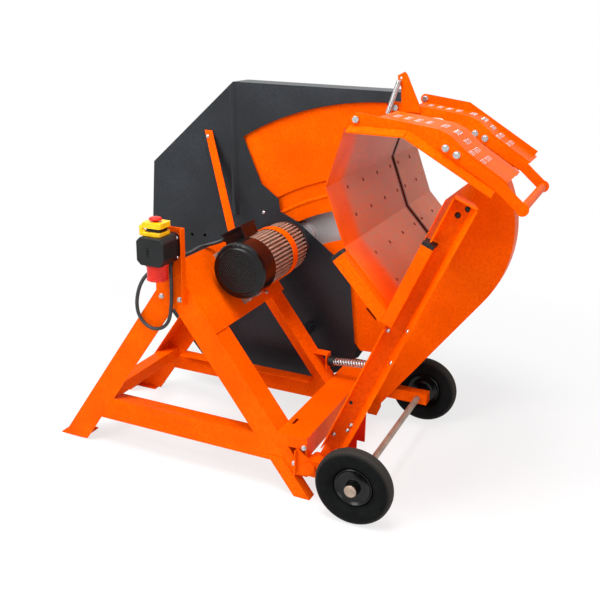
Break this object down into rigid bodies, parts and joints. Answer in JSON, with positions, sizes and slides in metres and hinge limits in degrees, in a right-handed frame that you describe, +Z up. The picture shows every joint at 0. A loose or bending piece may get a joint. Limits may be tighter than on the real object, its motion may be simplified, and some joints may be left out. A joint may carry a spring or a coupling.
{
  "type": "rocking-cradle log saw",
  "caption": "Electric firewood log saw: A-frame on wheels, motor-driven circular blade in a sheet guard, tilting trough cradle with hinged hold-down claws.",
  "frame": {"origin": "centre of the bounding box on the floor", "axes": "+X from the blade guard towards the operator's handle, +Y along the motor shaft from the switch to the rear trough, +Z up"},
  "size_m": [1.589, 1.0484, 1.3181],
  "materials": {
    "orange_paint": "gloss powder coat",
    "black_paint": "satin powder coat",
    "red_paint": "gloss",
    "black_parts": "satin",
    "motor_body": "painted dark grey",
    "tyre": "matte",
    "zinc": "zinc plated",
    "blade_steel": "ground",
    "cable": "matte",
    "red_plastic": "gloss",
    "yellow_plastic": "satin"
  },
  "bodies": {
    "base": {"front_left_leg": "orange_paint", "rear_left_leg": "orange_paint", "front_right_leg": "orange_paint", "rear_right_leg": "orange_paint", "left_feet": "orange_paint", "right_feet": "orange_paint", "front_rail": "orange_paint", "rear_rail": "orange_paint", "left_cross_bar": "orange_paint", "pivot_beam": "orange_paint", "pivot_gussets": "orange_paint", "pivot_pins": "orange_paint", "axle_arms": "orange_paint", "wheel_axle": "zinc", "motor_plate": "orange_paint", "motor_housing": "motor_body", "motor_fan_cover": "black_parts", "motor_end_shield": "black_parts", "motor_terminal_box": "black_parts", "motor_strap": "orange_paint", "guard_front_sheet": "black_paint", "guard_rear_sheet": "black_paint", "guard_rim": "black_paint", "guard_standoffs": "black_paint", "guard_strut": "orange_paint", "switch_bracket": "orange_paint", "switch_box": "black_parts", "stop_base": "yellow_plastic", "power_inlet": "red_plastic", "cable_glands": "black_parts", "motor_cable": "cable", "spring_bracket": "orange_paint", "return_spring": "zinc"},
    "blade": {"saw_blade": "blade_steel", "arbor_shaft": "blade_steel", "blade_clamp": "blade_steel"},
    "front_wheel": {"front_tyre": "tyre", "front_wheel_rim": "black_parts"},
    "rear_wheel": {"rear_tyre": "tyre", "rear_wheel_rim": "black_parts"},
    "cradle": {"front_arm": "orange_paint", "v_frame": "orange_paint", "tube_end_caps": "black_parts", "front_trough": "orange_paint", "rear_trough": "orange_paint", "shroud_front_plate": "orange_paint", "shroud_rear_plate": "orange_paint", "shroud_rim": "orange_paint", "spring_lug": "orange_paint", "lid_ears": "orange_paint", "cradle_bolts": "zinc", "lid_spring": "zinc"},
    "hold_down": {"front_claw": "orange_paint", "rear_claw": "orange_paint", "handle_arms": "orange_paint", "handle_grip": "orange_paint", "spring_mast": "orange_paint"},
    "lock_lever": {"lock_lever": "red_paint"},
    "stop_flap": {"stop_flap": "yellow_plastic"},
    "stop_button": {"stop_button": "red_plastic"}
  },
  "joints": [
    {"name": "cradle_swing", "type": "hinge", "parent": "base", "child": "cradle", "pos_m": [0.22155, -0.1178, 0.124], "axis": [0, -1, 0], "range_deg": [0, 24], "deforming": ["return_spring"]},
    {"name": "hold_down_hinge", "type": "hinge", "parent": "cradle", "child": "hold_down", "pos_m": [0.30745, -0.1978, 1.20905], "axis": [0, -1, 0], "range_deg": [0, 60], "deforming": ["lid_spring"]},
    {"name": "blade_spin", "type": "hinge", "parent": "base", "child": "blade", "pos_m": [-0.10741, 0.2282, 0.68709], "axis": [0, -1, 0], "continuous": true},
    {"name": "front_wheel_spin", "type": "hinge", "parent": "base", "child": "front_wheel", "pos_m": [0.38355, -0.4678, 0.125], "axis": [0, 1, 0], "continuous": true},
    {"name": "rear_wheel_spin", "type": "hinge", "parent": "base", "child": "rear_wheel", "pos_m": [0.38355, 0.2942, 0.125], "axis": [0, 1, 0], "continuous": true},
    {"name": "lock_lever_swing", "type": "hinge", "parent": "cradle", "child": "lock_lever", "pos_m": [0.34052, -0.3513, 0.37203], "axis": [0, -1, 0], "range_deg": [-15, 20]},
    {"name": "stop_flap_hinge", "type": "hinge", "parent": "base", "child": "stop_flap", "pos_m": [-0.33045, -0.4742, 0.858], "axis": [0, -1, 0], "range_deg": [0, 70]},
    {"name": "stop_button_press", "type": "slide", "parent": "stop_flap", "child": "stop_button", "axis": [0, 0, -1], "range_m": [0, 0.005], "stiffness_N_per_m": 400, "springref_m": -0.003}
  ]
}
